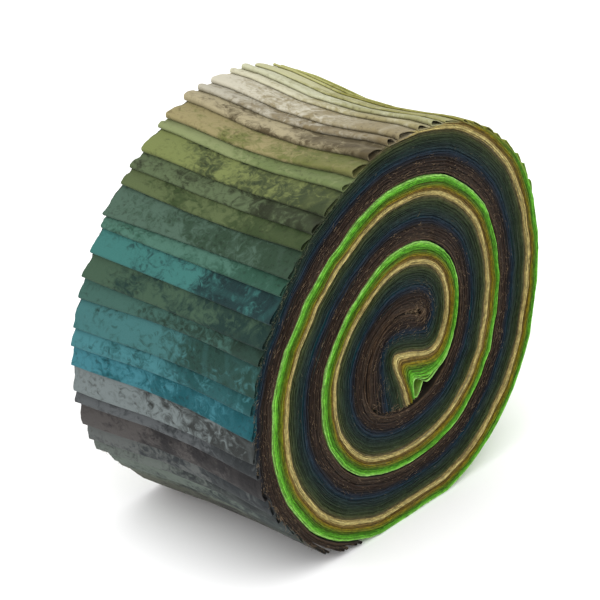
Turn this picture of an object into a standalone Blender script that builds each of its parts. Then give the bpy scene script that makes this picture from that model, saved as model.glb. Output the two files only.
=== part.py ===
"""Forty cotton strips, each folded once, stacked and wound together into one roll that stands on its rim.

The roll's axis is the Y axis and its faces look along -Y and +Y. The wound stack is one solid: a thick
ribbon whose middle starts with the cut ends of the strips, turns back over itself round a small eye and
then winds outwards. Its outer side steps down where strip after strip ends in a fold. Three strip ends
that have come loose at the bottom are thin sheets of their own.

Sections of the stack are called stations. A station gives three points across the stack: the lime side,
which lies outside, the tan strips a third of the way in, and the brown side, which lies inside.
"""
import math

import bmesh
import bpy
import numpy as np

MM = 0.001

# Radius of the roll's rim, and the radius it has in the tables below, which are drawn to that scale.
RIM_RADIUS = 61.5 * MM
DRAWN_RADIUS = 58.0
DRAWN = RIM_RADIUS / DRAWN_RADIUS

STRIP_WIDTH = 63.5 * MM
STRIP_COUNT = 40
TURN_GAP = 0.45 * MM
WAIST_DEPTH = 0.9 * MM
FLAT_DEPTH = 51.6 * DRAWN
FLAT_TURNS = (580.0, 700.0)

# Radius of the lime side about the roll's centre, one value for each eighth of a turn.
# Angles start at +X and run through +Z, and keep counting over the turns.
RADIUS_STEP = 45.0
RADIUS_START = 0.0
LIME_RADII = np.array([
    22.3, 25.2, 27.6, 28.5, 33.0, 35.0, 35.9, 39.8,
    39.2, 42.0, 45.4, 47.2, 52.4, 53.0, 52.9, 57.2,
    56.8, 60.0, 63.6, 66.8, 70.4, 71.2, 70.8, 72.0,
]) * DRAWN
# Radius of the brown side over the first turn, from 90 degrees, where it lies on the strips' own start.
FIRST_INNER_START = 90.0
FIRST_INNER_RADII = np.array([8.8, 11.2, 15.0, 19.0, 19.6, 21.2]) * DRAWN

# The middle of the roll, from the cut ends round the eye to the first regular section at 90 degrees.
# Columns: brown x and z, tan x and z, lime x and z, from the roll's centre.
CORE_STATIONS = np.array([
    (-14.6, -8.4, 1.2, -16.6, 4.6, -17.4),
    (-14.8, -4.8, -0.2, -12.6, 4.2, -15.2),
    (-14.2, -0.8, -2.6, -8.0, 4.1, -13.4),
    (-12.3, 3.2, -4.1, -4.4, 4.6, -12.4),
    (-9.2, 6.6, -3.4, -2.6, 5.6, -12.4),
    (-5.2, 8.1, -0.6, -3.2, 7.4, -13.2),
    (-0.9, 8.1, 3.6, -4.4, 9.6, -13.7),
    (3.0, 6.9, 8.2, -6.3, 12.4, -13.4),
    (5.2, 5.5, 12.0, -6.6, 16.0, -12.2),
    (6.1, 5.3, 14.6, -4.6, 19.0, -9.0),
    (6.7, 5.7, 16.6, -0.6, 21.2, -3.6),
    (6.9, 6.2, 17.5, 4.6, 22.2, 3.6),
    (6.8, 6.8, 16.4, 10.6, 21.6, 10.2),
    (6.3, 7.3, 13.2, 15.8, 18.3, 17.2),
    (5.2, 7.8, 8.6, 19.6, 12.6, 22.6),
    (3.0, 8.3, 3.2, 21.4, 6.4, 25.8),
]) * DRAWN
TAN_DEPTH = 0.29

# Strip ends on the rim: the first fold's angle, the angle from fold to fold and its unevenness.
FIRST_FOLD = 747.0
FOLD_STEP = 6.0
FOLD_UNEVEN = 1.1
UNEVEN_RATE = 2.4
FOLD_SWELL = 0.3 * MM
STACK_FOLDS = 33
STACK_END = 945.0
FOLD_BEFORE = 0.2
FOLD_AFTER = 0.4

# Sections along the regular turns and the share of a station between two sections in the middle.
TURN_SECTION = 9.0
CORE_SECTION = 0.6

# Columns across a face: share of the stack's thickness, height over the strips' nominal edge and how
# far the cut ends reach past the first station.
FACE_COLUMNS = (
    (0.00, -1.0 * MM, 0.0 * MM),
    (0.04, 0.2 * MM, 0.4 * MM),
    (0.15, 0.6 * MM, 1.4 * MM),
    (0.29, 0.1 * MM, 2.4 * MM),
    (0.55, -0.3 * MM, 4.9 * MM),
    (0.78, -0.1 * MM, 5.4 * MM),
    (0.96, 0.1 * MM, 1.6 * MM),
    (1.00, -1.0 * MM, 1.0 * MM),
)
FACE_WAVE = 0.3 * MM
FACE_WAVE_RATE = 0.7
FACE_EDGE = 0.5 * MM
# Rows across the rim between the two faces, as a share of half the strip's width.
WAIST_ROWS = (-0.3, 0.3)
# The waist fades out towards the flat spot, within this angle of straight down.
WAIST_FADE = 40.0

# Loose strip ends from the outermost in: angle of the tip and how far the tip stands off.
LOOSE_THICKNESS = 1.0 * MM
LOOSE_GAP = 0.3 * MM
LOOSE_ROOT = STACK_END + 0.35
LOOSE_SECTIONS = 7
LOOSE_EDGE = 0.3 * MM
LOOSE_ENDS = (
    ("loose_end_1", 958.0, 0.9 * MM),
    ("loose_end_2", 966.0, 0.3 * MM),
    ("loose_end_3", 972.0, 0.0 * MM),
)

STACK_COLOUR = (0.07, 0.10, 0.05)
LOOSE_COLOUR = (0.09, 0.06, 0.04)
CLOTH_ROUGHNESS = 0.9
SHARP_FROM = 35.0


def smooth_rows(table, at):
    """Catmull-Rom curve through evenly spaced rows, read at fractional row numbers."""
    last = len(table) - 1
    at = np.clip(np.asarray(at, float), 0.0, last)
    low = np.minimum(np.floor(at).astype(int), last - 1)
    part = at - low
    rows = [table[np.clip(low + k, 0, last)] for k in (-1, 0, 1, 2)]
    part = part.reshape(part.shape + (1,) * (rows[0].ndim - part.ndim))
    before, here, after, beyond = rows
    return 0.5 * (
        2.0 * here
        + (after - before) * part
        + (2.0 * before - 5.0 * here + 4.0 * after - beyond) * part**2
        + (3.0 * here - before - 3.0 * after + beyond) * part**3
    )


def lime_radius(turn):
    """Radius of the outer side of the stack, held level along the flat spot of the outermost turn."""
    radius = smooth_rows(LIME_RADII, (turn - RADIUS_START) / RADIUS_STEP)
    drop = np.maximum(-np.sin(np.radians(turn)), 1e-6)
    outermost = (turn > FLAT_TURNS[0]) & (turn < FLAT_TURNS[1])
    return np.where(outermost, np.minimum(radius, FLAT_DEPTH / drop), radius)


def brown_radius(turn):
    """Radius of the inner side: the stack's own start over the first turn, then the turn before it."""
    first = np.append(FIRST_INNER_RADII, lime_radius(np.array([0.0, 45.0])) + TURN_GAP)
    on_start = smooth_rows(first, (turn - FIRST_INNER_START) / RADIUS_STEP)
    on_turn = lime_radius(turn - 360.0) + TURN_GAP
    return np.where(turn < 360.0, on_start, on_turn)


def around(turn, radius):
    """Points in the X-Z plane at an angle and a radius, one row of x and z for each."""
    angle = np.radians(turn)
    return np.stack([radius * np.cos(angle), radius * np.sin(angle)], axis=-1)


def regular_guides(turn):
    """Brown, tan and lime points of regular sections, as rows of x and z pairs."""
    outer, inner = lime_radius(turn), brown_radius(turn)
    middle = outer + (inner - outer) * TAN_DEPTH
    return np.stack([around(turn, inner), around(turn, middle), around(turn, outer)], axis=1)


def core_guides(station):
    """Brown, tan and lime points of sections in the middle of the roll."""
    joined = regular_guides(FIRST_INNER_START + RADIUS_STEP * np.arange(3))
    rows = np.concatenate([CORE_STATIONS.reshape(-1, 3, 2), joined])
    return smooth_rows(rows, station)


def across(guides, depth):
    """Point at a depth through the stack: 0 on the lime side, TAN_DEPTH on the tan, 1 on the brown."""
    brown, tan, lime = guides[:, 0], guides[:, 1], guides[:, 2]
    depth = np.asarray(depth)[:, None]
    outer_part = lime + (tan - lime) * (depth / TAN_DEPTH)
    inner_part = tan + (brown - tan) * ((depth - TAN_DEPTH) / (1.0 - TAN_DEPTH))
    return np.where(depth < TAN_DEPTH, outer_part, inner_part)


def fold_angle(number):
    """Angle at which a strip ends in its fold; the strips don't end quite evenly."""
    return FIRST_FOLD + FOLD_STEP * number + FOLD_UNEVEN * np.sin(UNEVEN_RATE * number)


def waisted(points, across_width):
    """Draw points in towards the axis between the faces, more on the outer turns, none at the flat spot.

    points has x and z columns; across_width is 0 at mid-width and 1 or -1 at a face.
    """
    radius = np.linalg.norm(points, axis=1)
    from_down = np.abs(np.degrees(np.arctan2(points[:, 0], -points[:, 1])))
    fade = np.clip(from_down / WAIST_FADE - 0.5, 0.0, 1.0)
    between = np.where(np.abs(across_width) < 0.9, 1.0, 0.0)
    draw = WAIST_DEPTH * (radius / lime_radius(np.array([720.0]))) ** 2 * fade * between
    scale = 1.0 - draw / np.maximum(radius, 1.0 * MM)
    return points * scale[:, None]


def ring_rows(section_points, heights):
    """One closed ring of points round each section: near face, inner wall, far face, outer wall.

    section_points is a list of x-z arrays from the outer side to the inner, one for each face column;
    heights are the columns' heights over the strips' edge.
    """
    half = STRIP_WIDTH / 2.0
    ring = []

    def add(points, share, height):
        placed = waisted(points, np.full(len(points), share))
        y = np.full(len(points), share * half) + np.sign(share) * height
        ring.append(np.stack([placed[:, 0], y, placed[:, 1]], axis=1))

    columns = list(zip(section_points, heights))
    for points, height in columns:
        add(points, -1.0, height)
    for share in WAIST_ROWS:
        add(section_points[-1], share, 0.0)
    for points, height in reversed(columns):
        add(points, 1.0, height)
    for share in reversed(WAIST_ROWS):
        add(section_points[0], share, 0.0)
    return np.stack(ring, axis=1)


def skinned(name, rings, columns):
    """Object whose skin runs over the rings and closes both ends with faces from side to side."""
    mesh = bmesh.new()
    sections, size = rings.shape[:2]
    verts = [[mesh.verts.new(point) for point in ring] for ring in rings]
    for one, two in zip(verts, verts[1:]):
        for k in range(size):
            after = (k + 1) % size
            mesh.faces.new((one[k], one[after], two[after], two[k]))
    rows = len(WAIST_ROWS)
    for ring in (verts[0], verts[-1]):
        near = ring[:columns]
        inner = ring[columns:columns + rows]
        far = ring[columns + rows:2 * columns + rows][::-1]
        outer = ring[2 * columns + rows:]
        if columns == 2:
            mesh.faces.new(near + inner + far[::-1] + outer)
            continue
        mesh.faces.new([near[0], near[1], far[1], far[0]] + outer)
        for k in range(1, columns - 2):
            mesh.faces.new((near[k], near[k + 1], far[k + 1], far[k]))
        mesh.faces.new([near[-2], near[-1]] + inner + [far[-1], far[-2]])
    bmesh.ops.recalc_face_normals(mesh, faces=mesh.faces)
    data = bpy.data.meshes.new(name)
    mesh.to_mesh(data)
    mesh.free()
    data.shade_smooth()
    data.set_sharp_from_angle(angle=math.radians(SHARP_FROM))
    thing = bpy.data.objects.new(name, data)
    bpy.context.scene.collection.objects.link(thing)
    return thing


def stack_sections():
    """Guides of every section with the depth at which its outer side lies."""
    core_count = int(round(len(CORE_STATIONS) / CORE_SECTION))
    core = np.linspace(0.0, len(CORE_STATIONS), core_count, endpoint=False)
    angles = list(np.arange(FIRST_INNER_START, fold_angle(0) - 1.0, TURN_SECTION))
    depths = [0.0] * len(angles)
    swell = FOLD_SWELL / (LIME_RADII[-1] - LIME_RADII[-9])
    for number in range(STACK_FOLDS):
        fold = fold_angle(number)
        angles += [fold - FOLD_BEFORE, fold + FOLD_AFTER]
        depths += [number / STRIP_COUNT - swell, (number + 1) / STRIP_COUNT]
    angles.append(STACK_END)
    depths.append(STACK_FOLDS / STRIP_COUNT)
    guides = np.concatenate([core_guides(core), regular_guides(np.array(angles))])
    outer = np.concatenate([np.zeros(len(core)), np.array(depths)])
    return guides, outer


def make_stack():
    """The wound stack: its section carried along the stations, with a face that rises and falls."""
    guides, outer = stack_sections()
    points, heights = [], []
    wave = np.sin(np.arange(len(outer)) * FACE_WAVE_RATE)
    for share, height, reach in FACE_COLUMNS:
        column = across(guides, outer + (1.0 - outer) * share)
        onward = (column[0] - column[1]) / np.linalg.norm(column[0] - column[1])
        column[0] += onward * reach
        points.append(column)
        edge = height < -FACE_EDGE
        heights.append(height + (0.0 if edge else FACE_WAVE) * wave)
    return skinned("roll", ring_rows(points, heights), len(FACE_COLUMNS))


def make_loose_end(name, tip, stand_off, place):
    """A thin sheet that goes on where the stack ends, the place-th from the turn below it."""
    turn = np.linspace(LOOSE_ROOT, tip, LOOSE_SECTIONS)
    along = (turn - LOOSE_ROOT) / (tip - LOOSE_ROOT)
    inner = lime_radius(turn - 360.0) + TURN_GAP + place * (LOOSE_THICKNESS + LOOSE_GAP)
    inner = inner + stand_off * along**2
    sides = [around(turn, inner + LOOSE_THICKNESS), around(turn, inner)]
    edge = np.full(len(turn), -LOOSE_EDGE)
    return skinned(name, ring_rows(sides, [edge, edge]), 2)


def cloth(name, colour):
    """Plain matt cotton."""
    material = bpy.data.materials.new(name)
    material.use_nodes = True
    shader = material.node_tree.nodes["Principled BSDF"]
    shader.inputs["Base Color"].default_value = (*colour, 1.0)
    shader.inputs["Roughness"].default_value = CLOTH_ROUGHNESS
    shader.inputs["Metallic"].default_value = 0.0
    return material


def stand_on_origin(things):
    """Move every mesh so that the whole stands on the origin, centred over it."""
    points = np.concatenate([[v.co[:] for v in thing.data.vertices] for thing in things])
    low, high = points.min(axis=0), points.max(axis=0)
    shift = np.array([-(low[0] + high[0]) / 2.0, -(low[1] + high[1]) / 2.0, -low[2]])
    for thing in things:
        for vertex in thing.data.vertices:
            vertex.co = np.array(vertex.co) + shift


def main():
    for old in list(bpy.data.objects):
        bpy.data.objects.remove(old)
    stack = make_stack()
    stack.data.materials.append(cloth("wound_strips", STACK_COLOUR))
    things = [stack]
    loose_cloth = cloth("last_strips", LOOSE_COLOUR)
    for number, (name, tip, stand_off) in enumerate(LOOSE_ENDS):
        place = len(LOOSE_ENDS) - 1 - number
        sheet = make_loose_end(name, tip, stand_off, place)
        sheet.data.materials.append(loose_cloth)
        things.append(sheet)
    stand_on_origin(things)


main()
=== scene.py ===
"""Forty batik cotton strips, each folded once, stacked and wound together into one roll on its rim.

Every strip is one long sheet with real thickness: it runs out along the stack from its cut end in the
middle of the roll, turns round in its fold on the rim and runs back to its other cut end. The roll's
axis is the Y axis. Lengths in the tables are millimetres, angles degrees, colours 0 to 255.
"""
import math

import bpy
import numpy as np
from mathutils import Matrix


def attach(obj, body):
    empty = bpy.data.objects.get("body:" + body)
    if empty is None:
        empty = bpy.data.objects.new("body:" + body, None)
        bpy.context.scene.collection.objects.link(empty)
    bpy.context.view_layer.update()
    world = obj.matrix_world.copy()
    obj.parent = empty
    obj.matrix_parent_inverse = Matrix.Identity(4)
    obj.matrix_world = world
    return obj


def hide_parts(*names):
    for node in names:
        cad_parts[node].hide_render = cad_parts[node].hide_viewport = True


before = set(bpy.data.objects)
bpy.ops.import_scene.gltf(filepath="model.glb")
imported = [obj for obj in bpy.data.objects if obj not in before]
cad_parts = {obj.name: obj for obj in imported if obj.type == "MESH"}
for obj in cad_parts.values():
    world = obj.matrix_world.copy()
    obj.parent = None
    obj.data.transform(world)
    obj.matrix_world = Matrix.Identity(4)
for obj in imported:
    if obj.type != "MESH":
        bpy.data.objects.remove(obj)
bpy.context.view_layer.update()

bl_info = {
    "name": "Rolled Fabric Strips",
    "version": (1, 0, 0),
    "blender": (4, 5, 0),
    "location": "View3D > Sidebar > Strips",
    "description": "Winds folded cotton strips into a roll and sets the studio round it",
    "category": "Object",
}

MM = 0.001
STRIP_COUNT = 40
# Radius of the rim, and the radius it has in the tables of the section, which are drawn to that scale.
RIM_RADIUS = 61.5 * MM
DRAWN_RADIUS = 58.0
DRAWN = RIM_RADIUS / DRAWN_RADIUS
ROLL_CENTRE = np.array([1.30, 51.6]) * DRAWN
TURN_GAP = 0.45 * MM
FLAT_DEPTH = 51.6 * DRAWN
FLAT_TURNS = (580.0, 700.0)

# Radius of the lime side about the roll's centre for each eighth of a turn, from +X through +Z.
RADIUS_STEP = 45.0
LIME_RADII = np.array([
    22.3, 25.2, 27.6, 28.5, 33.0, 35.0, 35.9, 39.8,
    39.2, 42.0, 45.4, 47.2, 52.4, 53.0, 52.9, 57.2,
    56.4, 59.3, 62.7, 65.8, 69.2, 69.8, 69.0, 69.6,
]) * DRAWN
FIRST_INNER_START = 90.0
FIRST_INNER_RADII = np.array([8.8, 11.2, 15.0, 19.0, 19.6, 21.2]) * DRAWN

# The middle of the roll, from the cut ends round the eye to the first regular section.
# Columns: brown x and z, tan x and z, lime x and z, from the roll's centre.
CORE_STATIONS = np.array([
    (-14.6, -8.4, 1.2, -16.6, 4.6, -17.4),
    (-14.8, -4.8, -0.2, -12.6, 4.2, -15.2),
    (-14.2, -0.8, -2.6, -8.0, 4.1, -13.4),
    (-12.3, 3.2, -4.1, -4.4, 4.6, -12.4),
    (-9.2, 6.6, -3.4, -2.6, 5.6, -12.4),
    (-5.2, 8.1, -0.6, -3.2, 7.4, -13.2),
    (-0.9, 8.1, 3.6, -4.4, 9.6, -13.7),
    (3.0, 6.9, 8.2, -6.3, 12.4, -13.4),
    (5.2, 5.5, 12.0, -6.6, 16.0, -12.2),
    (6.1, 5.3, 14.6, -4.6, 19.0, -9.0),
    (6.7, 5.7, 16.6, -0.6, 21.2, -3.6),
    (6.9, 6.2, 17.5, 4.6, 22.2, 3.6),
    (6.8, 6.8, 16.4, 10.6, 21.6, 10.2),
    (6.3, 7.3, 13.2, 15.8, 18.3, 17.2),
    (5.2, 7.8, 8.6, 19.6, 12.8, 22.8),
    (3.0, 8.3, 3.2, 21.5, 6.6, 26.2),
]) * DRAWN
CORE_TO_TURN = 15.0
TAN_DEPTH = 0.29
# How far the cut ends reach past the first station, by share of the stack's thickness.
REACH_SHARES = (0.0, 0.04, 0.15, 0.29, 0.55, 0.78, 0.96, 1.0)
CUT_END_REACH = np.array([0.0, 0.4, 1.4, 2.6, 5.5, 6.1, 4.1, 3.2]) * MM
# The outermost strip's cut end turns back up beside the others: points from its tip, x and z.
HOOK = np.array([
    (8.0, -14.4), (7.4, -15.4), (6.8, -16.4), (6.1, -17.3), (5.4, -17.9), (4.9, -17.7),
]) * DRAWN
# The outermost strips buckle where the stack turns back sharply: station, spread in stations and height.
BUCKLE_STATION = 5.4
BUCKLE_SPREAD = 1.5
BUCKLE_HEIGHTS = np.array([2.3, 1.5, 0.8, 0.3]) * MM

# Folds on the rim: angle of the first and step to the next. The last, loose strips end in three groups,
# each of which stands off by its own distance.
FIRST_FOLD = 747.0
FOLD_STEP = 6.0
FOLD_UNEVEN = 1.1
UNEVEN_RATE = 2.4
FIRST_LOOSE = 33
LOOSE_FOLDS = (945.0, 956.5, 958.2, 964.4, 966.0, 970.6, 972.2)
LOOSE_STAND_OFF = np.array([0.0, 0.9, 0.9, 0.45, 0.45, 0.1, 0.1]) * MM
LOOSE_LIFT = 0.3
FLAT_LIFT = 0.35
FIRST_OPEN = 9
# Direction in which the far face is smaller than the near one.
TAPER_SIDE = math.radians(110.0)
# Each fold reaches past its last flat row; those rows lie closer together, as angles from the fold.
FOLD_REACH = 0.65 * MM
FOLD_ROWS = np.array([7.2, 6.0, 5.2, 4.4, 3.6, 2.8, 2.0, 1.3, 0.7, 0.0])
# Sides of the two plies, as shares of a ply's room.
PLY_SIDES = (0.06, 0.94, 1.06, 1.94)
# Folds that stand up more than the rest, by strip.
LOFTY_FOLDS = {11: 1.2, 12: 1.5, 13: 1.8, 14: 1.7, 15: 1.3}

# Edge of the strips over their nominal width, by share of the stack's thickness from the lime side.
CROWN_SHARES = (0.0, 0.04, 0.15, 0.29, 0.55, 0.9, 1.0)
CROWN_HEIGHTS = np.array([0.1, 0.3, 0.6, 0.2, -0.3, 0.0, 0.2]) * MM

# Columns: palest and deepest tone of the dye, and the tone of the cut edge, which is darker than the
# cloth partly from its dye and partly from painted shade between the stacked layers.
# The deep tone also stands for painted shade towards the near face, and the pale tone for painted light
# towards the far face.
STRIP_TONES = (
    # The first strip's pale cut edge is partly a painted highlight along the outermost edge of the face.
    ((176, 214, 112), (136, 190, 66), (158, 218, 108)),
    ((178, 208, 112), (140, 186, 66), (120, 198, 62)),
    ((182, 202, 108), (150, 180, 66), (94, 174, 36)),
    ((186, 198, 106), (156, 172, 62), (80, 148, 22)),
    ((190, 194, 106), (156, 162, 58), (76, 126, 14)),
    ((192, 194, 112), (152, 152, 56), (82, 112, 12)),
    ((196, 196, 120), (154, 152, 62), (112, 120, 10)),
    ((204, 202, 136), (160, 156, 76), (134, 118, 12)),
    ((214, 212, 164), (170, 166, 104), (108, 86, 20)),
    ((222, 222, 188), (178, 176, 126), (126, 104, 48)),
    ((230, 226, 196), (176, 166, 118), (188, 170, 104)),
    ((226, 220, 198), (160, 146, 108), (204, 188, 120)),
    ((206, 200, 180), (140, 124, 88), (172, 154, 94)),
    ((190, 178, 142), (92, 80, 54), (104, 96, 62)),
    ((170, 158, 112), (116, 122, 64), (82, 82, 48)),
    ((150, 160, 110), (118, 134, 82), (66, 74, 38)),
    ((132, 142, 84), (58, 70, 44), (50, 62, 32)),
    ((100, 116, 82), (42, 48, 28), (44, 58, 30)),
    ((98, 112, 72), (56, 74, 40), (40, 54, 30)),
    ((84, 110, 94), (46, 70, 50), (38, 54, 34)),
    ((82, 124, 108), (42, 82, 64), (34, 52, 36)),
    ((66, 126, 120), (24, 48, 50), (32, 50, 38)),
    ((70, 96, 76), (26, 54, 50), (28, 46, 40)),
    ((68, 106, 96), (32, 54, 42), (26, 46, 42)),
    ((70, 122, 122), (34, 66, 56), (24, 46, 48)),
    ((74, 134, 140), (24, 76, 76), (22, 46, 56)),
    ((68, 134, 146), (12, 84, 92), (22, 44, 58)),
    ((130, 140, 140), (46, 48, 46), (22, 40, 54)),
    ((98, 102, 104), (46, 50, 52), (24, 34, 48)),
    ((88, 84, 82), (38, 36, 38), (28, 30, 38)),
    ((106, 110, 108), (44, 50, 54), (34, 28, 26)),
    ((112, 120, 114), (40, 46, 48), (42, 30, 22)),
    ((112, 124, 114), (36, 48, 50), (46, 32, 23)),
    ((104, 114, 100), (36, 44, 42), (50, 35, 24)),
    ((94, 98, 82), (38, 38, 34), (52, 37, 26)),
    ((92, 82, 66), (48, 40, 32), (48, 35, 25)),
    ((84, 70, 56), (42, 34, 27), (54, 40, 28)),
    ((80, 66, 52), (40, 32, 25), (58, 44, 31)),
    ((78, 64, 52), (38, 30, 24), (66, 50, 35)),
    ((76, 62, 50), (36, 29, 23), (74, 56, 40)),
)

# Share of a tone in the table that the cloth itself has, because the studio light is brighter than 1.
TONE_LEVEL = 0.56
# Dark and light of a cut edge, as shares of its tone.
EDGE_LEVELS = (0.42, 1.0)
# Painted light and shade: the cloth is painted paler towards the far face and darker towards the near
# face; change of its shade for each metre.
PAINTED_LIGHT_LEAN = 4.0

# Loose threads on the faces along the turns and in the middle of the roll.
THREAD_COUNT = 3200
RIM_THREADS = 500
RIM_THREAD_TURNS = (830.0, 968.0)
CORE_THREADS = 500
# Curled threads that fill the eye and the hollow at the cut ends.
# Columns: x and z from the roll's centre, spread in x and in z, and the number of threads.
THREAD_TUFTS = (
    (5.2, 6.7, 1.1, 0.8, 190),
    (2.4, 7.7, 1.6, 0.35, 110),
    (-2.6, 8.4, 2.6, 0.3, 110),
    (-10.8, -14.8, 2.4, 1.3, 160),
    (-5.0, -17.6, 2.4, 0.9, 150),
    (1.5, -18.4, 2.0, 0.6, 70),
    (6.2, -16.2, 0.9, 0.9, 20),
)

# Shares of half the strip's width at which the cloth has a row of points.
WIDTH_SHARES = np.array([
    -1.0, -0.985, -0.93, -0.8, -0.55, -0.25, 0.0, 0.25, 0.55, 0.8, 0.93, 0.985, 1.0])

FLOOR_HALF = 3.0
LIGHT_TARGET = np.array([0.0, 0.0, 0.05])
# Columns: name, place in metres, size in metres, power in watts.
STUDIO_LIGHTS = (
    ("key", (-0.5, -0.2, 1.4), 1.4, 14.0),
    ("fill", (0.9, -1.1, 0.7), 1.0, 3.0),
    ("side_light", (-0.42, 0.26, 0.26), 0.3, 0.6),
)
VIEW_AZIMUTH = -50.65
VIEW_ELEVATION = 27.72
VIEW_DISTANCE = 1.1138
VIEW_LENS = 245.1
VIEW_TARGET = (0.0041, 0.0063, 0.0538)


def settings():
    """The user's sizes and colours."""
    return bpy.context.scene.strip_roll


def linear(colour):
    """Scene colour of a 0 to 255 tone."""
    share = np.asarray(colour, float) / 255.0
    return tuple(np.where(share <= 0.04045, share / 12.92, ((share + 0.055) / 1.055) ** 2.4))


def cloth_tone(colour):
    """Colour of the flat cloth, which the studio light brings up to its tone in the table."""
    return tuple(TONE_LEVEL * np.array(linear(colour)))


def smooth_rows(table, at):
    """Catmull-Rom curve through evenly spaced rows, read at fractional row numbers."""
    last = len(table) - 1
    at = np.clip(np.asarray(at, float), 0.0, last)
    low = np.minimum(np.floor(at).astype(int), last - 1)
    part = at - low
    rows = [table[np.clip(low + k, 0, last)] for k in (-1, 0, 1, 2)]
    part = part.reshape(part.shape + (1,) * (rows[0].ndim - part.ndim))
    before, here, after, beyond = rows
    return 0.5 * (
        2.0 * here
        + (after - before) * part
        + (2.0 * before - 5.0 * here + 4.0 * after - beyond) * part**2
        + (3.0 * here - before - 3.0 * after + beyond) * part**3
    )


def lime_radius(turn):
    """Radius of the outer side of the stack, held level along the flat spot of the outermost turn."""
    radius = smooth_rows(LIME_RADII, turn / RADIUS_STEP)
    drop = np.maximum(-np.sin(np.radians(turn)), 1e-6)
    outermost = (turn > FLAT_TURNS[0]) & (turn < FLAT_TURNS[1])
    return np.where(outermost, np.minimum(radius, FLAT_DEPTH / drop), radius)


def brown_radius(turn):
    """Radius of the inner side: the stack's own start over the first turn, then the turn before it."""
    first = np.append(FIRST_INNER_RADII, lime_radius(np.array([0.0, 45.0])) + TURN_GAP)
    on_start = smooth_rows(first, (turn - FIRST_INNER_START) / RADIUS_STEP)
    on_turn = lime_radius(turn - 360.0) + TURN_GAP
    return np.where(turn < 360.0, on_start, on_turn)


def around(turn, radius):
    """Points in the X-Z plane at an angle and a radius."""
    angle = np.radians(turn)
    return np.stack([radius * np.cos(angle), radius * np.sin(angle)], axis=-1)


def regular_guides(turn):
    """Brown, tan and lime points of regular sections."""
    outer, inner = lime_radius(turn), brown_radius(turn)
    middle = outer + (inner - outer) * TAN_DEPTH
    return np.stack([around(turn, inner), around(turn, middle), around(turn, outer)], axis=1)


def core_guides(station):
    """Brown, tan and lime points of sections in the middle of the roll."""
    joined = regular_guides(FIRST_INNER_START + CORE_TO_TURN * np.arange(3))
    rows = np.concatenate([CORE_STATIONS.reshape(-1, 3, 2), joined])
    return smooth_rows(rows, station)


def across(guides, depth):
    """Point at a depth through the stack: 0 on the lime side, TAN_DEPTH on the tan, 1 on the brown.

    The depth is one number, or one for each section.
    """
    brown, tan, lime = guides[:, 0], guides[:, 1], guides[:, 2]
    depth = np.reshape(depth, (-1, 1))
    outer = lime + (tan - lime) * (depth / TAN_DEPTH)
    inner = tan + (brown - tan) * ((depth - TAN_DEPTH) / (1.0 - TAN_DEPTH))
    return np.where(depth < TAN_DEPTH, outer, inner)


def fold_angle(number):
    """Angle at which a strip ends in its fold."""
    if number >= FIRST_LOOSE:
        return LOOSE_FOLDS[number - FIRST_LOOSE]
    return FIRST_FOLD + FOLD_STEP * number + FOLD_UNEVEN * math.sin(UNEVEN_RATE * number)


def strip_noise(number, rows, rates, seed):
    """Sum of sines along a strip with phases of its own; a smooth value from about -1 to 1."""
    rng = np.random.default_rng(seed * 1000 + number)
    phases = rng.uniform(0.0, 2.0 * math.pi, len(rates))
    total = sum(np.sin(rows * rate + phase) for rate, phase in zip(rates, phases))
    return total / len(rates)


def fold_profile(number, across_width):
    """Height by which the strip's fold stands up, by share of half its width; most at the faces."""
    look = settings()
    rng = np.random.default_rng(700 + number)
    strength = rng.uniform(0.8, 1.2) * LOFTY_FOLDS.get(number, 1.0)
    lean = rng.uniform(-0.15, 0.15)
    if number >= FIRST_LOOSE - 1:
        strength = LOOSE_LIFT
    if number < FIRST_OPEN:
        strength = strength * FLAT_LIFT
    off_middle = np.abs(across_width)
    shape = 0.6 + 0.25 * off_middle**1.6 + 0.35 * off_middle**12 + lean * across_width
    return look.fold_height * strength * shape


def with_hook(sides, core, from_fold, rise, lift):
    """The outermost strip with its hooked cut end added before its first row."""
    ahead = np.gradient(HOOK, axis=0)
    ahead = ahead / np.linalg.norm(ahead, axis=1)[:, None]
    right = np.stack([ahead[:, 1], -ahead[:, 0]], axis=1)
    thick = np.linalg.norm(sides[0][1] - sides[3][1])
    offsets = (0.5, 0.03, -0.03, -0.5)
    sides = [np.concatenate([HOOK + right * thick * at, side]) for at, side in zip(offsets, sides)]
    extra = len(HOOK)
    core = np.concatenate([np.full(extra, -9.0), core])
    from_fold = np.concatenate([np.full(extra, 1.0), from_fold])
    rise = np.concatenate([np.zeros((extra, 1)), rise])
    lift = np.concatenate([np.zeros((extra, lift.shape[1])), lift])
    return sides, core, from_fold, rise, lift


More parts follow.
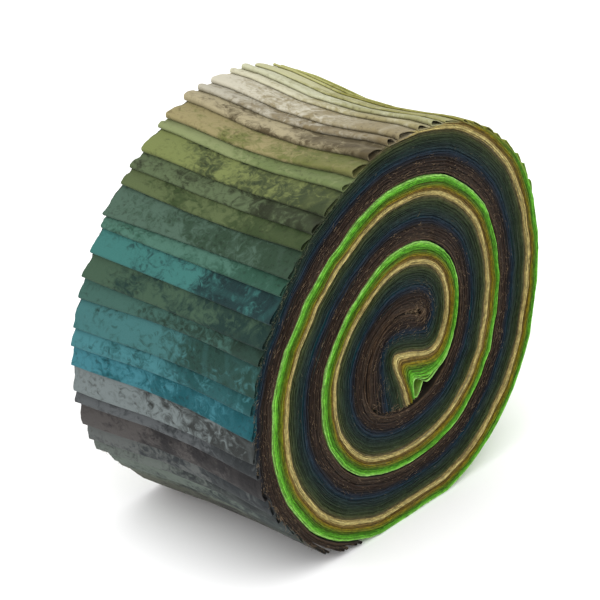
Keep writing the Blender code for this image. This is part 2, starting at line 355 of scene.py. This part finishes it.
def strip_surfaces(number):
    """Outer and inner surface of a folded strip as two grids of points, cut end to cut end.

    Rows run along the path, columns across the width. Both plies follow the stack at their own depth.
    Near the fold the outer ply lifts as one minus the square of the distance to the fold, and the fold
    itself is half an ellipse from the outer ply down to the inner one.
    """
    look = settings()
    share = WIDTH_SHARES
    end = fold_angle(number)
    start = fold_angle(number - 1) if number else end - FOLD_STEP
    core = np.linspace(0.0, len(CORE_STATIONS), 2 * len(CORE_STATIONS), endpoint=False)
    angles = np.arange(FIRST_INNER_START, end - 9.0, look.turn_step)
    radius_here = float(brown_radius(np.array([end]))[0])
    bend = np.degrees(FOLD_REACH / radius_here)
    last = end - bend - FOLD_ROWS
    angles = np.concatenate([angles, last])
    guides = np.concatenate([core_guides(core), regular_guides(angles)])
    from_fold = np.concatenate([np.full(len(core), 1.0), np.radians(end - bend - angles) * radius_here])
    reach = max(np.radians(end - start) * radius_here - 1.3 * MM, 2.0 * MM)
    rise = np.clip(1.0 - (from_fold / reach) ** 2, 0.0, 1.0)[:, None]
    lift = rise * fold_profile(number, share)[None, :]
    stand_off = np.zeros(len(from_fold))
    if number >= FIRST_LOOSE:
        loose = np.clip((angles - LOOSE_FOLDS[0]) / (end - LOOSE_FOLDS[0] + 0.01), 0.0, 1.0)
        stand_off[len(core):] = LOOSE_STAND_OFF[number - FIRST_LOOSE] * loose**2
    ply = 1.0 / (2.0 * STRIP_COUNT)
    top = number / STRIP_COUNT
    sides = [across(guides, top + ply * at) for at in PLY_SIDES]
    for side in sides:
        onward = (side[0] - side[1]) / np.linalg.norm(side[0] - side[1])
        reach_out = float(np.interp(top, REACH_SHARES, CUT_END_REACH))
        side[0] += onward * (reach_out + 0.5 * MM * strip_noise(number, 1.0, (1.0, 3.0), 5))
    if number == 0:
        sides, core, from_fold, rise, lift = with_hook(sides, core, from_fold, rise, lift)
    outward = sides[0] - sides[3]
    outward = outward / np.linalg.norm(outward, axis=1)[:, None]
    if number < len(BUCKLE_HEIGHTS):
        hump = np.exp(-(((core - BUCKLE_STATION) / BUCKLE_SPREAD) ** 2))
        inner_height = np.append(BUCKLE_HEIGHTS, 0.0)[number + 1]
        outer_height = BUCKLE_HEIGHTS[number]
        for side, height in zip(sides, (outer_height, outer_height, inner_height, inner_height)):
            side[:len(core)] += outward[:len(core)] * (hump * height)[:, None]
    if number >= FIRST_LOOSE:
        sides = [side + outward * stand_off[:, None] for side in sides]
    lifted = [side[:, None, :] + outward[:, None, :] * lift[:, :, None] for side in sides[:2]]
    level = [np.repeat(side[:, None, :], len(share), axis=1) for side in sides[2:]]
    # the fold itself
    top_outer, bottom_outer = lifted[0][-1], level[1][-1]
    thick = np.linalg.norm(sides[0][-1] - sides[1][-1])
    middle = (top_outer + bottom_outer) / 2.0
    half = np.linalg.norm(top_outer - bottom_outer, axis=1)[:, None] / 2.0
    up = outward[-1]
    forward = np.array([-up[1], up[0]])
    turn = np.linspace(0.0, math.pi, 9)[1:-1]
    length = FOLD_REACH
    bent_outer = [middle + up * half * math.cos(a) + forward * length * math.sin(a) for a in turn]
    bent_inner = [
        middle + up * (half - thick) * math.cos(a) + forward * (length - thick) * math.sin(a)
        for a in turn]
    rng = np.random.default_rng(900 + number)
    skew, bow = rng.uniform(-0.6, 0.6) * MM, rng.uniform(-0.5, 0.7) * MM
    slide = skew * share + bow * (share**2 - 0.4)
    ease = np.sqrt(rise[:, 0])
    shifts = np.concatenate([ease, np.ones(len(turn)), ease[::-1]])[:, None] * slide[None, :]
    outer = np.concatenate([lifted[0], np.array(bent_outer), level[1][::-1]])
    inner = np.concatenate([lifted[1], np.array(bent_inner), level[0][::-1]])
    return outer + forward * shifts[..., None], inner + forward * shifts[..., None]


def layer_wave(points, across_width):
    """Shift in and out of all layers together, so that none meets another.

    The waves are sines of the angle, stronger at the faces. The waist is deepest a little off the middle
    and fades towards the faces and the flat spot; the far face is a little smaller than the near one.
    """
    look = settings()
    radius = np.linalg.norm(points, axis=-1)
    angle = np.arctan2(points[..., 1], points[..., 0])
    from_down = np.abs(np.degrees(np.arctan2(points[..., 0], -points[..., 1])))
    rim = radius / RIM_RADIUS
    face = 0.25 + 0.75 * across_width**4
    slow = np.sin(11.0 * angle + 60.0 * radius + 2.5 * across_width)
    slow = slow + 0.6 * np.sin(23.0 * angle - 1.0)
    quick = np.sin(46.0 * angle + 90.0 * radius) + 0.6 * np.sin(71.0 * angle + 1.0)
    patch = np.clip(np.sin(2.0 * angle + 2.2) + 0.2, 0.0, 1.0)
    size = look.layer_wave * np.clip(2.0 * rim - 0.5, 0.0, 1.0)
    shift = size * face * (slow + 1.5 * patch * quick)
    off_middle = np.abs(across_width + 0.03)
    waist = np.clip((0.85 - off_middle) / 0.62, 0.0, 1.0)
    waist = waist * waist * (3.0 - 2.0 * waist)
    free = np.clip(from_down / 30.0 - 0.5, 0.0, 1.0)
    high = 0.75 + 0.25 * np.sin(angle)
    shift = shift * np.clip(from_down / 12.0, 0.15, 1.0)
    shift = shift - look.waist_depth * rim**2 * waist * free * high
    upper = np.clip(0.2 + np.cos(angle - TAPER_SIDE), 0.0, 1.0)
    farther = np.clip(0.5 + 0.5 * across_width, 0.0, 1.0)
    shift = shift - look.far_taper * rim**2 * farther * upper
    return points * (1.0 + shift / np.maximum(radius, 1.0 * MM))[..., None]


def strip_mesh(number):
    """Closed sheet of one folded strip, with its width and its run along the cloth as UV in metres."""
    look = settings()
    outer, inner = strip_surfaces(number)
    rows, columns = outer.shape[:2]
    share = np.broadcast_to(WIDTH_SHARES, (rows, columns))
    centre_line = outer[:, columns // 2]
    steps = np.linalg.norm(np.diff(centre_line, axis=0), axis=1)
    run = np.concatenate([[0.0], np.cumsum(steps)])
    depth = (number + 0.5) / STRIP_COUNT
    crown = np.interp(depth, CROWN_SHARES, CROWN_HEIGHTS)
    rng = np.random.default_rng(40 + number)
    widths = []
    for face in (0, 1):
        own = rng.uniform(-1.0, 1.0)
        drift = strip_noise(number, run / MM, (0.031, 0.093, 0.27), 11 + face)
        fine = strip_noise(number, run / MM, (0.9, 1.7, 2.9), 21 + face)
        widths.append(crown + look.edge_uneven * (0.6 * own + 0.9 * drift + 0.35 * fine))
    extra = np.where(share < 0.0, widths[0][:, None], widths[1][:, None]) * np.abs(share) ** 6
    y = share * look.strip_width / 2.0 + np.sign(share) * extra
    grids = []
    for surface in (outer, inner):
        moved = layer_wave(surface, share) + ROLL_CENTRE
        grids.append(np.stack([moved[..., 0], y, np.maximum(moved[..., 1], 0.0)], axis=-1))
    ring = np.concatenate([grids[0], grids[1][:, ::-1]], axis=1)
    size = ring.shape[1]
    index = np.arange(rows * size).reshape(rows, size)
    after = np.roll(index, -1, axis=1)
    quads = np.stack([index[:-1], index[1:], after[1:], after[:-1]], axis=-1).reshape(-1, 4)
    caps = []
    for row, flip in ((0, False), (rows - 1, True)):
        near = index[row, :columns]
        far = index[row, columns:][::-1]
        cap = np.stack([near[:-1], near[1:], far[1:], far[:-1]], axis=-1)
        caps.append(cap[:, ::-1] if flip else cap)
    faces = np.concatenate([quads] + caps)
    across_cloth = np.concatenate([y, y[:, ::-1]], axis=1)
    along_cloth = np.broadcast_to(run[:, None], ring.shape[:2])
    uv = np.stack([across_cloth, along_cloth], axis=-1).reshape(-1, 2)
    name = f"strip_{number + 1:02d}"
    data = bpy.data.meshes.new(name)
    data.from_pydata(ring.reshape(-1, 3), [], faces.tolist())
    on_edge = np.abs(WIDTH_SHARES) > 0.999
    cut = np.broadcast_to(np.concatenate([on_edge, on_edge]), ring.shape[:2])
    from_fold = np.abs(run - run[rows // 2])
    write_attribute(data, "cut_edge", cut)
    bare = np.clip(1.0 - (from_fold / look.bare_length), 0.0, 1.0)
    write_attribute(data, "bare_fold", np.broadcast_to(bare[:, None], ring.shape[:2]))
    layer = data.uv_layers.new(name="cloth")
    corners = np.empty(len(data.loops), dtype=np.int32)
    data.loops.foreach_get("vertex_index", corners)
    layer.data.foreach_set("uv", (uv[corners] + np.array([0.1 * number, 0.3 * number])).ravel())
    data.shade_smooth()
    data.set_sharp_from_angle(angle=math.radians(50.0))
    return data


def write_attribute(data, name, values):
    """One number for each point of a mesh, for the material to read."""
    layer = data.attributes.new(name, "FLOAT", "POINT")
    layer.data.foreach_set("value", np.ascontiguousarray(values, dtype=np.float32).ravel())


def placed(data, material, nodes):
    """Object of a finished mesh that rides on the roll and stands for its solids."""
    thing = bpy.data.objects.new(data.name, data)
    bpy.context.scene.collection.objects.link(thing)
    data.materials.append(material)
    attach(thing, "root")
    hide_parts(*nodes)
    return thing


def facing_in(guides):
    """Directions through the stack from its lime side to its brown side."""
    inward = guides[:, 0] - guides[:, 2]
    return inward / np.linalg.norm(inward, axis=1)[:, None]


def thread_roots(rng):
    """Where threads start, the direction across their layers, their depth and how far they are sunk.

    They lie along the turns, most of them in the brown layers, then at the folds on the rim, then round
    the core, and last in tufts.
    """
    count = THREAD_COUNT
    turn = 90.0 + 850.0 * np.sqrt(rng.uniform(0.0, 1.0, count))
    in_brown = rng.uniform(size=count) < 0.75
    depth = np.where(in_brown, rng.uniform(0.74, 1.0, count), rng.uniform(0.0, 1.0, count))
    turn[:RIM_THREADS] = rng.uniform(*RIM_THREAD_TURNS, RIM_THREADS)
    depth[:RIM_THREADS] = 0.0
    last_depth = np.clip((turn - FIRST_FOLD) / (FOLD_STEP * STRIP_COUNT) + 0.02, 0.0, 0.98)
    uneven = 0.04 * rng.uniform(-1.0, 1.0, count) * (last_depth > 0.02)
    depth = np.maximum(depth, last_depth + uneven)
    guides = regular_guides(turn)
    core = core_guides(rng.uniform(0.0, 15.0, CORE_THREADS))
    core_depth = rng.uniform(0.55, 1.0, CORE_THREADS)
    tufts = np.concatenate([
        np.tile([x, z, wide, high], (many, 1)) for x, z, wide, high, many in THREAD_TUFTS])
    spread = rng.normal(0.0, 1.0, (len(tufts), 2))
    tuft_starts = (tufts[:, :2] + spread * tufts[:, 2:]) * DRAWN
    tuft_inward = rng.normal(0.0, 1.0, (len(tufts), 2))
    tuft_inward = tuft_inward / np.linalg.norm(tuft_inward, axis=1)[:, None]
    starts = np.concatenate([across(guides, depth), across(core, core_depth), tuft_starts])
    inward = np.concatenate([facing_in(guides), facing_in(core), tuft_inward])
    depth = np.concatenate([depth, core_depth, np.full(len(tufts), 0.97)])
    level = np.zeros(len(depth) - len(tufts))
    sunk = np.concatenate([level, rng.uniform(0.0, 3.0, len(tufts)) * MM])
    return starts, inward, depth, sunk


def tube_mesh(name, centre, aside, thick):
    """Closed three-sided tubes round paths: one row of points for each tube."""
    ring = []
    for angle in (0.0, 2.0 * math.pi / 3.0, 4.0 * math.pi / 3.0):
        out = np.zeros_like(centre)
        out[..., 0] = aside[:, None, 0] * math.cos(angle)
        out[..., 2] = aside[:, None, 1] * math.cos(angle)
        out[..., 1] = math.sin(angle)
        ring.append(centre + out * thick[..., None])
    points = np.stack(ring, axis=2)
    index = np.arange(points[..., 0].size).reshape(points.shape[:3])
    after = np.roll(index, -1, axis=2)
    walls = np.stack([index[:, :-1], index[:, 1:], after[:, 1:], after[:, :-1]], axis=-1)
    ends = np.concatenate([index[:, 0, ::-1], index[:, -1]])
    data = bpy.data.meshes.new(name)
    data.from_pydata(points.reshape(-1, 3), [], walls.reshape(-1, 4).tolist() + ends.tolist())
    return data, points.shape[:3]


def loose_threads():
    """Short curled threads at the cut edges, on both faces, as three-sided tubes.

    Each thread starts on a layer at its angle and depth, runs along the layer for its length, bends
    aside with the square of the way, and rises from the face as a sine.
    """
    look = settings()
    rng = np.random.default_rng(5)
    starts, inward, depth, sunk = thread_roots(rng)
    count = len(starts)
    ahead_or_back = np.where(rng.uniform(size=count) < 0.5, 1, -1)[:, None]
    along = np.stack([-inward[:, 1], inward[:, 0]], axis=1) * ahead_or_back
    lean = rng.normal(0.0, 0.18, count)[:, None]
    lean[:RIM_THREADS] = rng.normal(0.0, 0.9, (RIM_THREADS, 1))
    along = along * np.cos(lean) + inward * np.sin(lean)
    aside = np.stack([-along[:, 1], along[:, 0]], axis=1)
    length = rng.uniform(0.3, 1.5, count) * MM * np.where(sunk > 0.0, 2.0, 1.0)
    bend = rng.normal(0.0, 0.3, count)
    way = np.linspace(0.0, 1.0, 5)
    path = (starts[:, None, :] + along[:, None, :] * (length[:, None] * way)[..., None]
            + aside[:, None, :] * (length * bend)[:, None, None] * (way**2)[None, :, None])
    side = np.where(rng.uniform(size=count) < 0.6, -1.0, 1.0)
    crown = np.interp(depth, CROWN_SHARES, CROWN_HEIGHTS)
    half_width = look.strip_width / 2.0
    rise = rng.uniform(0.05, 0.35, count)[:, None] * MM * np.sin(math.pi * way)[None, :]
    height = half_width + (crown - sunk)[:, None] + look.edge_uneven * 0.6 + rise
    y = side[:, None] * height
    path = layer_wave(path, np.clip(y / half_width, -1.0, 1.0)) + ROLL_CENTRE
    centre = np.stack([path[..., 0], y, np.maximum(path[..., 1], 0.1 * MM)], axis=-1)
    thick = rng.uniform(0.025, 0.06, count)[:, None] * MM * (1.0 - 0.5 * way)[None, :]
    data, shape = tube_mesh("loose_threads", centre, aside, thick)
    write_attribute(data, "layer_depth", np.broadcast_to(depth[:, None, None], shape))
    data.shade_smooth()
    return data


def thread_cotton():
    """Loose cotton thread in the tones of the layers that it comes from, from lime to pale brown."""
    material = bpy.data.materials.new("loose_thread")
    material.use_nodes = True
    tree = material.node_tree
    shader = tree.nodes["Principled BSDF"]
    depth = add_node(tree, "ShaderNodeAttribute", attribute_name="layer_depth").outputs["Fac"]
    where = add_node(tree, "ShaderNodeTexCoord")
    speckle = add_node(tree, "ShaderNodeTexNoise", {"Vector": where.outputs["Object"], "Scale": 700.0})
    lime, olive, pale = (104, 168, 48), (84, 92, 62), (134, 112, 84)
    colour = mixed(tree, ranged(tree, depth, 0.1, 0.35), (*linear(lime), 1.0), (*linear(olive), 1.0))
    colour = mixed(tree, ranged(tree, depth, 0.5, 0.75), colour, (*linear(pale), 1.0))
    dark = mixed(tree, 1.0, colour, (0.4, 0.36, 0.32, 1.0), "MULTIPLY")
    colour = mixed(tree, ranged(tree, speckle.outputs[0], 0.35, 0.65), dark, colour)
    tree.links.new(colour, shader.inputs["Base Color"])
    shader.inputs["Roughness"].default_value = 0.8
    return material


def group_of(name, inputs, outputs):
    """New shader node group with its sockets; returns the group and its input and output nodes."""
    group = bpy.data.node_groups.new(name, "ShaderNodeTree")
    for label, kind, value in inputs:
        socket = group.interface.new_socket(label, in_out="INPUT", socket_type=kind)
        if value is not None:
            socket.default_value = value
    for label, kind in outputs:
        group.interface.new_socket(label, in_out="OUTPUT", socket_type=kind)
    return group, group.nodes.new("NodeGroupInput"), group.nodes.new("NodeGroupOutput")


def add_node(tree, kind, links=None, **values):
    """Node with its settings and links; links maps an input's name or number to a socket or a value."""
    node = tree.nodes.new(kind)
    for key, value in values.items():
        setattr(node, key, value)
    for key, source in (links or {}).items():
        if isinstance(source, bpy.types.NodeSocket):
            tree.links.new(source, node.inputs[key])
        else:
            node.inputs[key].default_value = source
    return node


def maths(tree, operation, *terms):
    """Result of a Math node."""
    return add_node(tree, "ShaderNodeMath", dict(enumerate(terms)), operation=operation).outputs[0]


def ranged(tree, value, low, high, to_low=0.0, to_high=1.0):
    """Smooth step of a value between two limits."""
    links = {"Value": value, "From Min": low, "From Max": high, "To Min": to_low, "To Max": to_high}
    return add_node(tree, "ShaderNodeMapRange", links, interpolation_type="SMOOTHSTEP").outputs["Result"]


def mixed(tree, share, one, two, blend="MIX"):
    """Colour between two colours."""
    node = add_node(tree, "ShaderNodeMix", data_type="RGBA", blend_type=blend)
    for socket, source in ((node.inputs[0], share), (node.inputs[6], one), (node.inputs[7], two)):
        if isinstance(source, bpy.types.NodeSocket):
            tree.links.new(source, socket)
        else:
            socket.default_value = source
    return node.outputs[2]


def batik_group():
    """Dye that ran: soft clouds of two sizes, pale blooms and thin pale and dark veins; its lean input
    adds painted light and shade by moving the clouds towards the pale or the deep tone.
    """
    group, given, result = group_of(
        "batik_dye_and_painted_light",
        (("Cloth", "NodeSocketVector", None), ("Pale", "NodeSocketColor", (1.0, 1.0, 1.0, 1.0)),
         ("Deep", "NodeSocketColor", (0.1, 0.1, 0.1, 1.0)), ("Bloom Size", "NodeSocketFloat", 0.02),
         ("Painted Light Lean", "NodeSocketFloat", 0.0)),
        (("Color", "NodeSocketColor"), ("Shade", "NodeSocketFloat")),
    )
    cloth = given.outputs["Cloth"]
    scale = maths(group, "DIVIDE", 1.0, given.outputs["Bloom Size"])
    fine_scale = maths(group, "MULTIPLY", scale, 5.5)
    cloud = add_node(group, "ShaderNodeTexNoise", {
        "Vector": cloth, "Scale": scale, "Detail": 3.0, "Roughness": 0.55, "Distortion": 0.6})
    fine = add_node(group, "ShaderNodeTexNoise", {
        "Vector": cloth, "Scale": fine_scale, "Detail": 4.0, "Roughness": 0.65, "Distortion": 1.2})
    cell = add_node(group, "ShaderNodeTexVoronoi", {
        "Vector": cloth, "Scale": maths(group, "MULTIPLY", scale, 1.7)}, feature="DISTANCE_TO_EDGE")
    vein = ranged(group, cell.outputs["Distance"], 0.02, 0.14, 1.0, 0.0)
    blotch = maths(group, "ADD", maths(group, "MULTIPLY", cloud.outputs[0], 0.52),
                   maths(group, "MULTIPLY", fine.outputs[0], 0.56))
    # The lean is painted light and shade: it moves the shade towards the pale tone on one side and
    # towards the deep tone on the other.
    shade = ranged(group, maths(group, "ADD", blotch, given.outputs["Painted Light Lean"]), 0.45, 0.64)
    ground = mixed(group, shade, given.outputs["Deep"], given.outputs["Pale"])
    speck = add_node(group, "ShaderNodeTexNoise", {
        "Vector": cloth, "Scale": maths(group, "MULTIPLY", scale, 14.0),
        "Detail": 2.0, "Distortion": 0.5})
    specks = maths(group, "MULTIPLY", ranged(group, speck.outputs[0], 0.5, 0.74),
                   ranged(group, cloud.outputs[0], 0.6, 0.4))
    darker = mixed(group, 1.0, ground, (0.55, 0.52, 0.5, 1.0), "MULTIPLY")
    body = mixed(group, specks, ground, darker)
    faint = maths(group, "MULTIPLY", fine.outputs[0], 0.35)
    veined = mixed(group, maths(group, "MULTIPLY", vein, faint), body, given.outputs["Pale"])
    group.links.new(veined, result.inputs["Color"])
    group.links.new(shade, result.inputs["Shade"])
    return group


def weave_group():
    """Plain weave: the height of warp and weft as the product of two sines, from 0 to 1."""
    group, given, result = group_of(
        "plain_weave",
        (("Cloth", "NodeSocketVector", None), ("Thread Spacing", "NodeSocketFloat", 0.0004)),
        (("Height", "NodeSocketFloat"), ("Slub", "NodeSocketFloat")),
    )
    parts = add_node(group, "ShaderNodeSeparateXYZ", {"Vector": given.outputs["Cloth"]})
    turn = maths(group, "DIVIDE", math.pi, given.outputs["Thread Spacing"])
    warp = maths(group, "SINE", maths(group, "MULTIPLY", parts.outputs["X"], turn))
    weft = maths(group, "SINE", maths(group, "MULTIPLY", parts.outputs["Y"], turn))
    product = maths(group, "MULTIPLY", warp, weft)
    height = maths(group, "MULTIPLY_ADD", product, 0.5, 0.5)
    stretched = add_node(group, "ShaderNodeMapping", {
        "Vector": given.outputs["Cloth"], "Scale": (900.0, 90.0, 1.0)})
    slub = add_node(group, "ShaderNodeTexNoise", {
        "Vector": stretched.outputs[0], "Scale": 1.0, "Detail": 2.0})
    group.links.new(height, result.inputs["Height"])
    group.links.new(slub.outputs[0], result.inputs["Slub"])
    return group


def edge_group():
    """Cut edge of the cloth: 1 at the strip's edge, and a frayed streak pattern along it."""
    group, given, result = group_of(
        "cut_edge",
        (("Edge", "NodeSocketFloat", 0.0), ("Cloth", "NodeSocketVector", None)),
        (("Mask", "NodeSocketFloat"), ("Fray", "NodeSocketFloat")),
    )
    mask = ranged(group, given.outputs["Edge"], 0.15, 0.6)
    along = add_node(group, "ShaderNodeSeparateXYZ", {"Vector": given.outputs["Cloth"]})
    spread = add_node(group, "ShaderNodeCombineXYZ", {
        "X": maths(group, "MULTIPLY", along.outputs["X"], 500.0),
        "Y": maths(group, "MULTIPLY", along.outputs["Y"], 420.0)})
    streak = add_node(group, "ShaderNodeTexNoise", {
        "Vector": spread.outputs[0], "Scale": 1.0, "Detail": 3.0, "Roughness": 0.7})
    group.links.new(mask, result.inputs["Mask"])
    group.links.new(ranged(group, streak.outputs[0], 0.35, 0.7), result.inputs["Fray"])
    return group


def effect(tree, group, links):
    """A placed node group."""
    node = add_node(tree, "ShaderNodeGroup", node_tree=group)
    for key, source in links.items():
        if isinstance(source, bpy.types.NodeSocket):
            tree.links.new(source, node.inputs[key])
        else:
            node.inputs[key].default_value = source
    return node


def shared(name, build):
    """The node group of that name, built the first time."""
    return bpy.data.node_groups.get(name) or build()


def batik_cotton(name, pale, deep, edge):
    """Matt hand-dyed cotton whose cut edge has a darker tone of its own, partly dye and partly painted
    shade between the stacked layers, streaked dark and light.
    """
    look = settings()
    material = bpy.data.materials.new(name)
    material.use_nodes = True
    tree = material.node_tree
    shader = tree.nodes["Principled BSDF"]
    where = add_node(tree, "ShaderNodeTexCoord")
    cloth = where.outputs["UV"]
    # Painted light and shade: the Object Y coordinate makes the cloth paler towards the far face and
    # darker towards the near face.
    side = add_node(tree, "ShaderNodeSeparateXYZ", {"Vector": where.outputs["Object"]}).outputs["Y"]
    dye = effect(tree, shared("batik_dye_and_painted_light", batik_group), {
        "Cloth": cloth, "Painted Light Lean": maths(tree, "MULTIPLY", side, PAINTED_LIGHT_LEAN),
        "Pale": (*cloth_tone(pale), 1.0), "Deep": (*cloth_tone(deep), 1.0),
        "Bloom Size": look.bloom_size})
    weave = effect(tree, shared("plain_weave", weave_group), {
        "Cloth": cloth, "Thread Spacing": look.thread_spacing})
    edge_share = add_node(tree, "ShaderNodeAttribute", attribute_name="cut_edge").outputs["Fac"]
    bare = add_node(tree, "ShaderNodeAttribute", attribute_name="bare_fold").outputs["Fac"]
    cut = effect(tree, shared("cut_edge", edge_group), {"Edge": edge_share, "Cloth": cloth})
    edge_tone_and_shade = np.array(linear(edge))
    dark = mixed(tree, cut.outputs["Fray"], (*(edge_tone_and_shade * EDGE_LEVELS[0]), 1.0),
                 (*(edge_tone_and_shade * EDGE_LEVELS[1]), 1.0))
    body = mixed(tree, maths(tree, "MULTIPLY", weave.outputs["Slub"], 0.12), dye.outputs["Color"],
                 (*cloth_tone(pale), 1.0))
    # Painted shade between the stacked layers comes with the cut-edge tone; the bare cloth at the fold,
    # which shows on the rim, gets none of it.
    stacked = maths(tree, "SUBTRACT", 1.0, ranged(tree, bare, 0.0, 0.6))
    colour = mixed(tree, maths(tree, "MULTIPLY", cut.outputs["Mask"], stacked), body, dark)
    tree.links.new(colour, shader.inputs["Base Color"])
    shader.inputs["Roughness"].default_value = 0.86
    shader.inputs["Specular IOR Level"].default_value = 0.12
    shader.inputs["Sheen Weight"].default_value = 0.05
    shader.inputs["Sheen Roughness"].default_value = 0.5
    crease = add_node(tree, "ShaderNodeTexNoise", {
        "Vector": cloth, "Scale": 160.0, "Detail": 3.0, "Roughness": 0.5, "Distortion": 0.8})
    height = maths(tree, "ADD", maths(tree, "MULTIPLY", weave.outputs["Height"], 0.00004),
                   maths(tree, "MULTIPLY", crease.outputs[0], 0.0005))
    height = maths(tree, "ADD", height, maths(tree, "MULTIPLY", cut.outputs["Fray"], 0.0001))
    bump = add_node(tree, "ShaderNodeBump", {"Height": height, "Strength": 0.6, "Distance": 1.0})
    tree.links.new(bump.outputs["Normal"], shader.inputs["Normal"])
    return material


class StripRollSettings(bpy.types.PropertyGroup):
    """Sizes of the roll and of its cloth."""

    strip_width: bpy.props.FloatProperty(
        name="Strip Width", description="Cut width of each strip", default=63.5 * MM,
        unit="LENGTH", subtype="DISTANCE")
    turn_step: bpy.props.FloatProperty(
        name="Turn Step", description="Angle from row to row along the turns, in degrees", default=5.0)
    fold_height: bpy.props.FloatProperty(
        name="Fold Height", description="How far a fold stands up at the faces", default=1.0 * MM,
        unit="LENGTH", subtype="DISTANCE")
    layer_wave: bpy.props.FloatProperty(
        name="Layer Wave", description="How far the layers wave in and out", default=0.16 * MM,
        unit="LENGTH", subtype="DISTANCE")
    bare_length: bpy.props.FloatProperty(
        name="Bare Length", description="Length of cloth at the fold that shows on the rim",
        default=9.0 * MM, unit="LENGTH", subtype="DISTANCE")
    edge_uneven: bpy.props.FloatProperty(
        name="Edge Unevenness", description="How far cut edges stand in or out", default=0.4 * MM,
        unit="LENGTH", subtype="DISTANCE")
    waist_depth: bpy.props.FloatProperty(
        name="Waist Depth", description="How far the rim is drawn in at mid-width", default=2.1 * MM,
        unit="LENGTH", subtype="DISTANCE")
    far_taper: bpy.props.FloatProperty(
        name="Far Taper", description="How much smaller the far face's radius is", default=2.2 * MM,
        unit="LENGTH", subtype="DISTANCE")
    bloom_size: bpy.props.FloatProperty(
        name="Bloom Size", description="Size of the dye's clouds", default=16.0 * MM,
        unit="LENGTH", subtype="DISTANCE")
    thread_spacing: bpy.props.FloatProperty(
        name="Thread Spacing", description="Distance from thread to thread", default=0.36 * MM,
        unit="LENGTH", subtype="DISTANCE")
    floor_colour: bpy.props.FloatVectorProperty(
        name="Floor Colour", description="Colour of the studio floor", default=(0.93, 0.93, 0.93),
        size=3, min=0.0, max=1.0, subtype="COLOR")
    light_level: bpy.props.FloatProperty(
        name="Light Level", description="Strength of the even studio light", default=1.05)


class STRIPROLL_OT_wind(bpy.types.Operator):
    """Wind the folded strips into the roll"""

    bl_idname = "striproll.wind"
    bl_label = "Wind Strips"

    def execute(self, context):
        for number, (pale, deep, edge) in enumerate(STRIP_TONES):
            material = batik_cotton(f"batik_{number + 1:02d}", pale, deep, edge)
            loose = number >= FIRST_LOOSE
            nodes = ["roll"]
            if loose:
                nodes.append(f"loose_end_{min(3, 1 + (number - FIRST_LOOSE) // 2)}")
            strip = placed(strip_mesh(number), material, nodes)
        return {"FINISHED"}


class STRIPROLL_OT_fray(bpy.types.Operator):
    """Add the loose threads at the cut edges"""

    bl_idname = "striproll.fray"
    bl_label = "Fray Edges"

    def execute(self, context):
        placed(loose_threads(), thread_cotton(), ["roll"])
        return {"FINISHED"}


class STRIPROLL_OT_studio(bpy.types.Operator):
    """Set the floor, the soft light and the camera"""

    bl_idname = "striproll.studio"
    bl_label = "Set Studio"

    def execute(self, context):
        look = settings()
        scene = context.scene
        half = FLOOR_HALF
        data = bpy.data.meshes.new("floor")
        corners = [(-half, -half, 0.0), (half, -half, 0.0), (half, half, 0.0), (-half, half, 0.0)]
        data.from_pydata(corners, [], [(0, 1, 2, 3)])
        floor = bpy.data.objects.new("floor", data)
        scene.collection.objects.link(floor)
        paint = bpy.data.materials.new("studio_floor")
        paint.use_nodes = True
        shader = paint.node_tree.nodes["Principled BSDF"]
        shader.inputs["Base Color"].default_value = (*look.floor_colour, 1.0)
        shader.inputs["Roughness"].default_value = 0.8
        data.materials.append(paint)
        world = bpy.data.worlds.new("studio")
        world.use_nodes = True
        sky = world.node_tree.nodes["Background"]
        sky.inputs["Color"].default_value = (1.0, 1.0, 1.0, 1.0)
        sky.inputs["Strength"].default_value = look.light_level
        scene.world = world
        for name, place, size, power in STUDIO_LIGHTS:
            lamp = bpy.data.lights.new(name, "AREA")
            lamp.size = size
            lamp.energy = power
            holder = bpy.data.objects.new(name, lamp)
            holder.matrix_world = facing(np.array(place), LIGHT_TARGET)
            holder.visible_camera = False
            scene.collection.objects.link(holder)
        azimuth, elevation = math.radians(VIEW_AZIMUTH), math.radians(VIEW_ELEVATION)
        back = np.array([math.sin(azimuth) * math.cos(elevation),
                         -math.cos(azimuth) * math.cos(elevation), math.sin(elevation)])
        lens = bpy.data.cameras.new("camera")
        lens.lens = VIEW_LENS
        lens.sensor_width = 36.0
        lens.sensor_fit = "HORIZONTAL"
        lens.clip_end = 20.0
        camera = bpy.data.objects.new("camera", lens)
        target = np.array(VIEW_TARGET)
        camera.matrix_world = facing(target + back * VIEW_DISTANCE, target)
        scene.collection.objects.link(camera)
        scene.camera = camera
        scene.view_settings.view_transform = "Standard"
        return {"FINISHED"}


def facing(place, target):
    """Matrix of something at a place whose -Z axis looks at a target, with its X axis level."""
    back = (place - target) / np.linalg.norm(place - target)
    right = np.cross([0.0, 0.0, 1.0], back)
    right = right / np.linalg.norm(right)
    up = np.cross(back, right)
    rows = np.eye(4)
    rows[:3, 0], rows[:3, 1], rows[:3, 2], rows[:3, 3] = right, up, back, place
    return Matrix(rows.tolist())


class VIEW3D_PT_strip_roll(bpy.types.Panel):
    """Sizes and steps of the strip roll"""

    bl_label = "Strip Roll"
    bl_idname = "VIEW3D_PT_strip_roll"
    bl_space_type = "VIEW_3D"
    bl_region_type = "UI"
    bl_category = "Strips"

    def draw(self, context):
        look = context.scene.strip_roll
        for name in StripRollSettings.__annotations__:
            self.layout.prop(look, name)
        for step in STEPS:
            self.layout.operator(step.bl_idname)


STEPS = (STRIPROLL_OT_wind, STRIPROLL_OT_fray, STRIPROLL_OT_studio)
CLASSES = (StripRollSettings,) + STEPS + (VIEW3D_PT_strip_roll,)


def register():
    for kind in CLASSES:
        bpy.utils.register_class(kind)
    bpy.types.Scene.strip_roll = bpy.props.PointerProperty(type=StripRollSettings)


def unregister():
    del bpy.types.Scene.strip_roll
    for kind in reversed(CLASSES):
        bpy.utils.unregister_class(kind)


def main():
    register()
    bpy.ops.striproll.wind()
    bpy.ops.striproll.fray()
    bpy.ops.striproll.studio()


if __name__ == "__main__":
    main()
